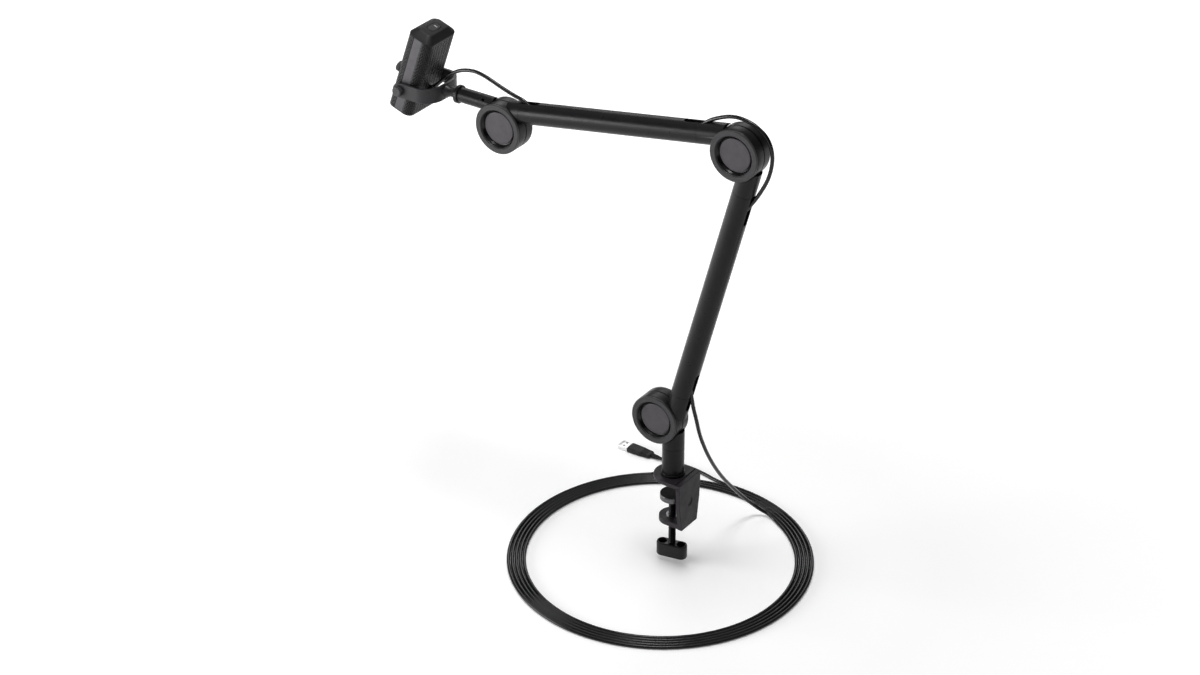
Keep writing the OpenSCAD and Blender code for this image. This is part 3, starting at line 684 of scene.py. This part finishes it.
def make_cover(name, joint, body):
    """Bezel with rounded lips, a recess (painted dark as shade) that slopes down to a groove, and a crowned disc
    (painted lighter as light on its flat face).
    """
    parts = {
        "bezel": (COVER, [(20.6, 8.6), (27.2, 12.03), (27.2, 13.3), (26.5, 14), (21.6, 14),
                          (20.9, 13.3), (20.6, 12.4), (20.6, 8.6)]),
        # the recess: cover plastic painted near black, painted shade
        "recess": (RECESS_PAINTED_SHADE, [(0.01, 8.4), (19.4, 8.4), (20.55, 9.0), (20.55, 12.5), (18.9, 9.9),
                            (18.5, 9.2), (17.2, 9.0), (0.01, 9.0)]),
        # the disc: cover plastic painted lighter, painted light
        "disc": (DISC_PAINTED_LIGHT, [(0.01, 9.02), (17.2, 9.02), (17.5, 9.4), (17.5, 10.0), (17.0, 10.35),
                        (12, 10.42), (6, 10.47), (0.01, 10.5)]),
    }
    for label, (material, outline) in parts.items():
        points = [(r * MM, z * MM) for r, z in outline]
        profile = rounded_profile(points, 0.4 * MM) if label != "bezel" else points
        obj = piece(f"{name}_{label}", *turned(profile, facing(joint), 112), material,
                    "cover_plastic")
        if label == "bezel":
            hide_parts(name + "_cap")
        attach(obj, body)


make_cover("shoulder", SHOULDER, "lower_arm")
make_cover("elbow", ELBOW, "upper_arm")
make_cover("wrist", WRIST, "wrist")


# ---------------------------------------------------------------- microphone
def section_line(inset, half, count):
    """Points along half of the body's section, from one strip round a broad face to the other."""
    wide, thick, r = MIC_WIDE - 2 * inset, MIC_THICK - 2 * inset, MIC_CORNER - inset
    flat = thick / 2 - r - half
    parts = [flat, r * math.pi / 2, wide - 2 * r, r * math.pi / 2, flat]
    total = sum(parts)
    points = []
    for k in range(count + 1):
        s = total * k / count
        if s <= parts[0]:
            points.append((half + s, -wide / 2))
        elif s <= parts[0] + parts[1]:
            a = (s - parts[0]) / r
            points.append((half + flat + r * math.sin(a), -wide / 2 + r * (1 - math.cos(a))))
        elif s <= sum(parts[:3]):
            points.append((thick / 2, -wide / 2 + r + s - parts[0] - parts[1]))
        elif s <= sum(parts[:4]):
            a = (s - sum(parts[:3])) / r
            points.append((thick / 2 - r * (1 - math.cos(a)), wide / 2 - r + r * math.sin(a)))
        else:
            points.append((thick / 2 - r - (s - sum(parts[:4])), wide / 2))
    return points, total


HOLE_PITCH, HOLE_R = 2.7 * MM, 0.93 * MM
SHANK_X, SHANK_ROOM = -2.5 * MM, 3.4 * MM    # thumbscrew shanks, across the body's side
RIM = 1.2 * MM                       # plain edge round the punched field
SHEET_T = 0.7 * MM
SHEET_INSET = 0.05 * MM              # below the CAD grille's skin
BEND_STEPS = 600                     # points on the section that the sheet is bent round


def perforated(name, side, openings, replaces):
    """Half of the body's skin in sheet metal with staggered rows of round holes.

    side is +1 or -1. openings are (across, height, radius) where no holes are punched."""
    half = STRIP_HALF + 0.03 * MM
    _, total = section_line(SHEET_INSET, half, 4)
    columns = round((total - 2 * RIM) / HOLE_PITCH)
    rows = round((GRILLE_HIGH - GRILLE_LOW - 2 * RIM) / (HOLE_PITCH * 0.87))
    width = (total - 2 * RIM) / columns
    tall = (GRILLE_HIGH - GRILLE_LOW - 2 * RIM) / rows
    made = bmesh.new()
    known = {}

    def vertex(u, v):
        key = (round(u * 1e7), round(v * 1e7))
        if key not in known:
            known[key] = made.verts.new((u, v, 0))
        return known[key]

    def quad(*corners):
        ring = []
        for c in corners:
            p = vertex(*c)
            if p not in ring:
                ring.append(p)
        if len(ring) > 2:
            made.faces.new(ring)

    def blocked(u, v):
        return any(math.hypot(u - a, v - b) < r + HOLE_R + 0.5 * MM for a, b, r in openings)

    for row in range(rows):
        low = GRILLE_LOW + RIM + row * tall
        v = low + tall / 2
        shift = width / 2 if row % 2 else 0.0
        starts = [RIM + shift + c * width for c in range(columns - (row % 2))]
        if shift:
            quad((RIM, low), (RIM + shift, low), (RIM + shift, low + tall), (RIM, low + tall))
            quad((total - RIM - shift, low), (total - RIM, low), (total - RIM, low + tall),
                 (total - RIM - shift, low + tall))
        for u in starts:
            edge = [(u, low), (u + width / 2, low), (u + width, low), (u + width, low + tall / 2),
                    (u + width, low + tall), (u + width / 2, low + tall), (u, low + tall),
                    (u, low + tall / 2)]
            middle = u + width / 2
            if blocked(middle - total / 2, v):
                quad(*edge)
                continue
            hole = []
            for a in (225, 270, 315, 0, 45, 90, 135, 180):
                a = math.radians(a)
                hole.append((middle + HOLE_R * math.cos(a), v + HOLE_R * math.sin(a)))
            for k in range(8):
                quad(edge[k], edge[(k + 1) % 8], hole[(k + 1) % 8], hole[k])
    # the plain rim round the punched field
    across = [RIM + k * width / 2 for k in range(2 * columns + 1)]
    for a, b in zip(across, across[1:]):
        quad((a, GRILLE_LOW), (b, GRILLE_LOW), (b, GRILLE_LOW + RIM), (a, GRILLE_LOW + RIM))
        quad((a, GRILLE_HIGH - RIM), (b, GRILLE_HIGH - RIM), (b, GRILLE_HIGH), (a, GRILLE_HIGH))
    up = [GRILLE_LOW + RIM + k * tall for k in range(rows + 1)]
    for a, b in zip([GRILLE_LOW, *up], [*up, GRILLE_HIGH]):
        quad((0, a), (RIM, a), (RIM, b), (0, b))
        quad((total - RIM, a), (total, a), (total, b), (total - RIM, b))
    # bend the flat sheet round the section
    line, _ = section_line(SHEET_INSET, half, BEND_STEPS)
    for vert in made.verts:
        u, v = vert.co.x, vert.co.y
        at = min(float(BEND_STEPS), max(0.0, u / total * BEND_STEPS))
        k = min(BEND_STEPS - 1, int(at))
        (x0, y0), (x1, y1) = line[k], line[k + 1]
        x, y = x0 + (x1 - x0) * (at - k), y0 + (y1 - y0) * (at - k)
        x *= side
        off = math.hypot(x - SHANK_X, v)
        if abs(y) > MIC_WIDE / 2 - 1 * MM and off < SHANK_ROOM:
            # the edge keeps clear of the thumbscrew's shank
            x = SHANK_X + side * math.sqrt(SHANK_ROOM ** 2 - min(abs(v), SHANK_ROOM) ** 2)
        vert.co = MIC_FRAME @ Vector((x, y, v))
    bmesh.ops.recalc_face_normals(made, faces=made.faces)
    sample = next(iter(made.faces))
    outwards = sample.calc_center_median() - MIC_FRAME.to_translation()
    if sample.normal.dot(outwards) < 0:
        bmesh.ops.reverse_faces(made, faces=made.faces)
    mesh = bpy.data.meshes.new(name)
    made.to_mesh(mesh)
    made.free()
    mesh.polygons.foreach_set("use_smooth", [True] * len(mesh.polygons))
    obj = bpy.data.objects.new(name, mesh)
    bpy.context.scene.collection.objects.link(obj)
    mesh.materials.append(GRILLE)
    thick = obj.modifiers.new("sheet", "SOLIDIFY")
    thick.thickness = SHEET_T
    thick.offset = -1
    thick.use_even_offset = True
    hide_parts(replaces)
    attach(obj, "mic")
    return obj


def inner_screen(name, side):
    """Fine black foam behind the holes."""
    spans = 30
    rings = []
    outer, _ = section_line(0.8 * MM, STRIP_HALF + 0.3 * MM, 40)
    inner, _ = section_line(1.4 * MM, STRIP_HALF + 0.3 * MM, 40)
    outline = [(side * x, y) for x, y in outer] + [(side * x, y) for x, y in reversed(inner)]
    for k in range(spans + 1):
        z = GRILLE_LOW + 0.2 * MM + (GRILLE_HIGH - GRILLE_LOW - 0.4 * MM) * k / spans
        rings.append(placed([(x, y, z) for x, y in outline], MIC_FRAME))
    verts, faces = loft(rings, caps=(False, False))
    n = len(outline)
    for base in (0, spans * n):
        for k in range(n // 2 - 1):
            faces.append((base + k, base + k + 1, base + n - 2 - k, base + n - 1 - k))
    obj = piece(name, verts, faces, MOUNT_RUBBER, "capsule_rubber", sharp=50)
    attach(obj, "mic")


perforated("front_perforated_shell", -1, [(-13 * MM, 15 * MM, 5.2 * MM)], "front_grille")
perforated("rear_perforated_shell", 1, [(0, 1 * MM, 5.2 * MM)], "rear_grille")
inner_screen("front_foam", -1)
inner_screen("rear_foam", 1)


def cap_rings(sign, opening):
    """Closed rings of a cap: skirt, sloping sides with an eased crest, then the inside."""
    edge = GRILLE_HIGH if sign > 0 else GRILLE_LOW
    rings = []

    def add(x, y, r, z):
        shape = round_rect(x * MM, y * MM, r * MM, 10)
        rings.append(placed([(a, b, edge + sign * z * MM) for a, b in shape], MIC_FRAME))

    add(29.6, 47.6, 7.8, 0.02)
    add(30, 48, 8, 0.22)
    add(30, 48, 8, 0.75)
    for k in range(1, 7):
        t = k / 7
        add(30 - 12.2 * t, 48 - 15 * t, 8 - 3 * t, 0.75 + 5.85 * t ** 0.95)
    add(17.4, 32.4, 4.8, 6.8)
    add(16.2, 31.2, 4.3, 7.0)
    if opening:
        add(9.9, 16.9, 4.5, 7.0)
        add(9.4, 16.4, 4.25, 6.75)
        add(9.4, 16.4, 4.25, 4.1)
        add(19, 30.8, 4, 4.1)
    else:
        add(8, 20, 3, 7.0)
        return rings
    add(19, 30.8, 4, 0.02)
    return rings


top = piece("top_cap_moulding", *loft(cap_rings(1, True), closed=True), CAP, "cap_plastic",
            sharp=28)
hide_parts("top_cap")
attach(top, "mic")
bottom = piece("bottom_cap_moulding", *loft(cap_rings(-1, False)), CAP, "cap_plastic", sharp=28)
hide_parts("bottom_cap")
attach(bottom, "mic")


def button_ring(x, y, r, z, centre=(0, 0)):
    shape = round_rect(x * MM, y * MM, r * MM, 8, (centre[0] * MM, centre[1] * MM))
    return placed([(a, b, MIC_HIGH + z * MM) for a, b in shape], MIC_FRAME)


rings = [button_ring(9, 16, 4.1, -3.2), button_ring(9, 16, 4.1, -0.35), button_ring(8.8, 15.8, 4, 0.0),
         button_ring(8.3, 15.3, 3.8, 0.2), button_ring(7.2, 14.2, 3.3, 0.24),
         button_ring(5.1, 2.5, 1.1, 0.2, (0, 3)), button_ring(4.7, 2.0, 0.9, 0.0, (0, 3)),
         button_ring(4.7, 2.0, 0.9, -1.2, (0, 3))]
button = piece("mute_button_top", *loft(rings), BUTTON, "button_plastic", sharp=30)
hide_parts("mute_button")
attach(button, "mute_button")
rings = [button_ring(4.4, 1.7, 0.8, -1.2, (0, 3)), button_ring(4.4, 1.7, 0.8, -0.1, (0, 3)),
         button_ring(4.0, 1.3, 0.6, 0.1, (0, 3)), button_ring(2.8, 0.5, 0.22, 0.15, (0, 3))]
light = piece("status_light_lens", *loft(rings), LENS_WHITE, "light_lens", sharp=50)
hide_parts("status_light")
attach(light, "mute_button")


# ---------------------------------------------------------------- knobs and screws
def make_gain_knob():
    place = MIC_FRAME @ Matrix.Translation((-MIC_THICK / 2, -13 * MM, 15 * MM)) @ Matrix.Rotation(
        math.radians(-90), 4, "Y")
    outline = [(0.01, -10.2), (3, -10.2), (3, 0.3), (5.2, 0.3), (5.7, 0.8), (5.7, 4.2), (5.1, 5.1),
               (4.4, 5.3), (3.6, 5.0), (0.01, 4.95)]
    profile = rounded_profile([(r * MM, z * MM) for r, z in outline], 0.3 * MM, 3)
    obj = piece("gain_knob_grip", *turned(profile, place, 144, 18, 0.45 * MM, 4.6 * MM), KNOB,
                "button_plastic")
    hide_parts("gain_knob")
    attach(obj, "gain_knob")


def make_thumbscrew(name, turn, body):
    place = Matrix.Translation(TILT) @ Matrix.Rotation(math.radians(turn), 4, "X")
    outline = [(0.01, 14), (2.6, 14), (3, 14.4), (3, 29.06), (5.3, 29.06), (5.6, 29.4), (5.6, 33.1),
               (5.1, 33.7), (4.2, 33.95), (0.01, 33.7)]
    profile = rounded_profile([(r * MM, z * MM) for r, z in outline], 0.3 * MM, 3)
    obj = piece(name + "_knob", *turned(profile, place, 112, 14, 0.5 * MM, 4.6 * MM), KNOB,
                "button_plastic")
    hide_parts(name)
    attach(obj, body)


make_gain_knob()
make_thumbscrew("left_thumbscrew", 90, "left_screw")
make_thumbscrew("right_thumbscrew", -90, "right_screw")


def make_collar():
    """Thin lock ring with a fine grip round its rim."""
    start = Vector(JOINTS["yoke_swivel"]["pos_m"])
    place = Matrix.Translation(start) @ Matrix.Rotation(math.radians(90), 4, "Y")
    outline = [(4.05, 0.02), (8.9, 0.02), (9.7, 0.7), (9.75, 1.0), (9.75, 3.6), (9.7, 3.9),
               (8.9, 4.56), (4.05, 4.56)]
    sides = 168
    rings = []
    for r, z in outline:
        grip = 0.22 * MM if 0.8 < z < 3.8 else 0.0
        ring = []
        for k in range(sides):
            a = 2 * math.pi * k / sides
            reach = r * MM - grip * max(0.0, math.cos(42 * a))
            ring.append((reach * math.cos(a), reach * math.sin(a), z * MM))
        rings.append(placed(ring, place))
    obj = piece("lock_collar_ring", *loft(rings, closed=True), HANDLE, "handle_plastic")
    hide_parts("lock_collar")
    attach(obj, "collar")


make_collar()


def make_clamp_screw():
    """The screw's thread, 1.25 mm a turn, with plain ends."""
    pitch, low, high, sides = 1.25 * MM, -92 * MM, -21.6 * MM, 28
    rings = []
    count = round((high - low) / (pitch / 5))
    for i in range(count + 1):
        z = low + (high - low) * i / count
        ring = []
        for k in range(sides):
            a = 2 * math.pi * k / sides
            phase = (z / pitch - k / sides) % 1.0
            depth = 0.75 * MM * abs(2 * phase - 1)
            plain = z > high - 7.5 * MM or z < low + 11 * MM
            r = 4 * MM - (0.1 * MM if plain else depth)
            ring.append((r * math.cos(a), r * math.sin(a), z))
        rings.append([Vector(p) for p in ring])
    obj = piece("clamp_screw_thread", *loft(rings), BLACK_STEEL, "black_steel", sharp=60)
    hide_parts("clamp_screw")
    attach(obj, "screw")


make_clamp_screw()


def make_handle():
    """T handle with two pockets, its edges rounded."""
    place = Matrix.Rotation(math.radians(11), 4, "Z")

    def ring(x, y, r, z, centre=(0, 0)):
        shape = round_rect(x * MM, y * MM, r * MM, 8, (centre[0] * MM, centre[1] * MM))
        return placed([(a, b, z * MM) for a, b in shape], place)

    rings = [ring(31.6, 11.1, 5.3, -98), ring(33.2, 12.7, 6.1, -97.6), ring(34, 13.5, 6.5, -96.6),
             ring(34, 13.5, 6.5, -83.4), ring(33.2, 12.7, 6.1, -82.4), ring(31.6, 11.1, 5.3, -82)]
    obj = piece("clamp_handle", *loft(rings), HANDLE, "handle_plastic", sharp=50)
    for side in (-1, 1):
        middle = (side * 10.3, 0)
        pocket = [ring(7.0, 7.6, 3, -92, middle), ring(8.2, 8.8, 3.5, -91.2, middle),
                  ring(8.6, 9.2, 3.7, -82.8, middle), ring(10, 10.6, 4.2, -81.5, middle)]
        cut_shape(obj, *loft(pocket))
    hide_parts("t_handle")
    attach(obj, "screw")


make_handle()


def make_gland():
    """Gland on the microphone's rear face and the ribbed boot that leads the lead upwards."""
    place = MIC_FRAME @ Matrix.Translation((13.1 * MM, 0, 1 * MM)) @ Matrix.Rotation(
        math.radians(90), 4, "Y")
    outline = [(0.01, 0), (4.6, 0), (4.6, 4.3), (4.3, 4.7), (3.6, 4.9), (0.01, 4.9)]
    profile = rounded_profile([(r * MM, z * MM) for r, z in outline], 0.3 * MM, 3)
    ring = piece("lead_gland_ring", *turned(profile, place, 48), CAP, "cap_plastic")
    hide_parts("lead_gland")
    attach(ring, "mic")
    place = MIC_FRAME @ Matrix.Translation((17.3 * MM, 0, 1 * MM)) @ Matrix.Rotation(
        math.radians(26), 4, "Y")
    outline = [(0.01, 0), (3.9, 0), (4.0, 0.6)]
    for k in range(4):
        z, r = 1.2 + 2.0 * k, 3.85 - 0.36 * k
        outline += [(r, z), (r - 0.1, z + 1.1), (r - 0.5, z + 1.35), (r - 0.55, z + 1.75)]
    outline += [(2.55, 9.3), (2.3, 9.6), (0.01, 9.6)]
    boot = piece("lead_boot", *turned([(r * MM, z * MM) for r, z in outline], place, 40), LEAD,
                 "lead_jacket", sharp=40)
    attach(boot, "mic")


make_gland()

# ---------------------------------------------------------------- studio
FLOOR_HALF = 9                       # metres
GLOW = (0.17, 0.95)                  # strength of the floor's own light, near and far
GLOW_SPAN = (0.3, 2.2)               # metres from the origin between which it rises
floor_shader = Shader("floor").set(Roughness=0.75, Specular_IOR_Level=0.15,
                                   Emission_Color=(1, 1, 1, 1))
floor_shader.colours(floor_shader.noise(0.4), (0.91, 0.91, 0.91), (0.93, 0.93, 0.93))
reach = floor_shader.nodes.new("ShaderNodeVectorMath")
reach.operation = "LENGTH"
floor_shader.links.new(floor_shader.coords, reach.inputs[0])
glow = floor_shader.remap(reach.outputs["Value"], *GLOW, *GLOW_SPAN)
floor_shader.links.new(glow, floor_shader.bsdf.inputs["Emission Strength"])
mesh = bpy.data.meshes.new("floor")
corners = [(x * FLOOR_HALF, y * FLOOR_HALF, FLOOR_Z) for x, y in ((-1, -1), (1, -1), (1, 1), (-1, 1))]
mesh.from_pydata(corners, [], [(0, 1, 2, 3)])
floor = bpy.data.objects.new("floor", mesh)
bpy.context.scene.collection.objects.link(floor)
mesh.materials.append(floor_shader.material)


def area_light(name, place, target, size, power):
    lamp = bpy.data.lights.new(name, "AREA")
    lamp.shape = "RECTANGLE"
    lamp.size, lamp.size_y = size
    lamp.energy = power
    obj = bpy.data.objects.new(name, lamp)
    bpy.context.scene.collection.objects.link(obj)
    obj.location = place
    obj.rotation_euler = (Vector(target) - Vector(place)).to_track_quat("-Z", "Y").to_euler()


area_light("ceiling", (-0.5, 0.8, 3.0), (-0.5, 0.8, 0), (6, 6), 45)
area_light("key", (-0.05, -0.1, 2.4), (-0.1, 0, 0), (0.7, 0.7), 30)
area_light("side", (-2.0, -1.5, 0.5), (-0.1, 0, 0.35), (1.5, 0.9), 46)
area_light("back", (-1.6, 2.3, 1.8), (0, 0, 0.1), (2.0, 1.0), 16)

world = bpy.data.worlds.new("world")
bpy.context.scene.world = world
world.use_nodes = True
background = world.node_tree.nodes["Background"]
background.inputs["Color"].default_value = (1, 1, 1, 1)
background.inputs["Strength"].default_value = 0.03
bpy.context.scene.view_settings.view_transform = "Standard"
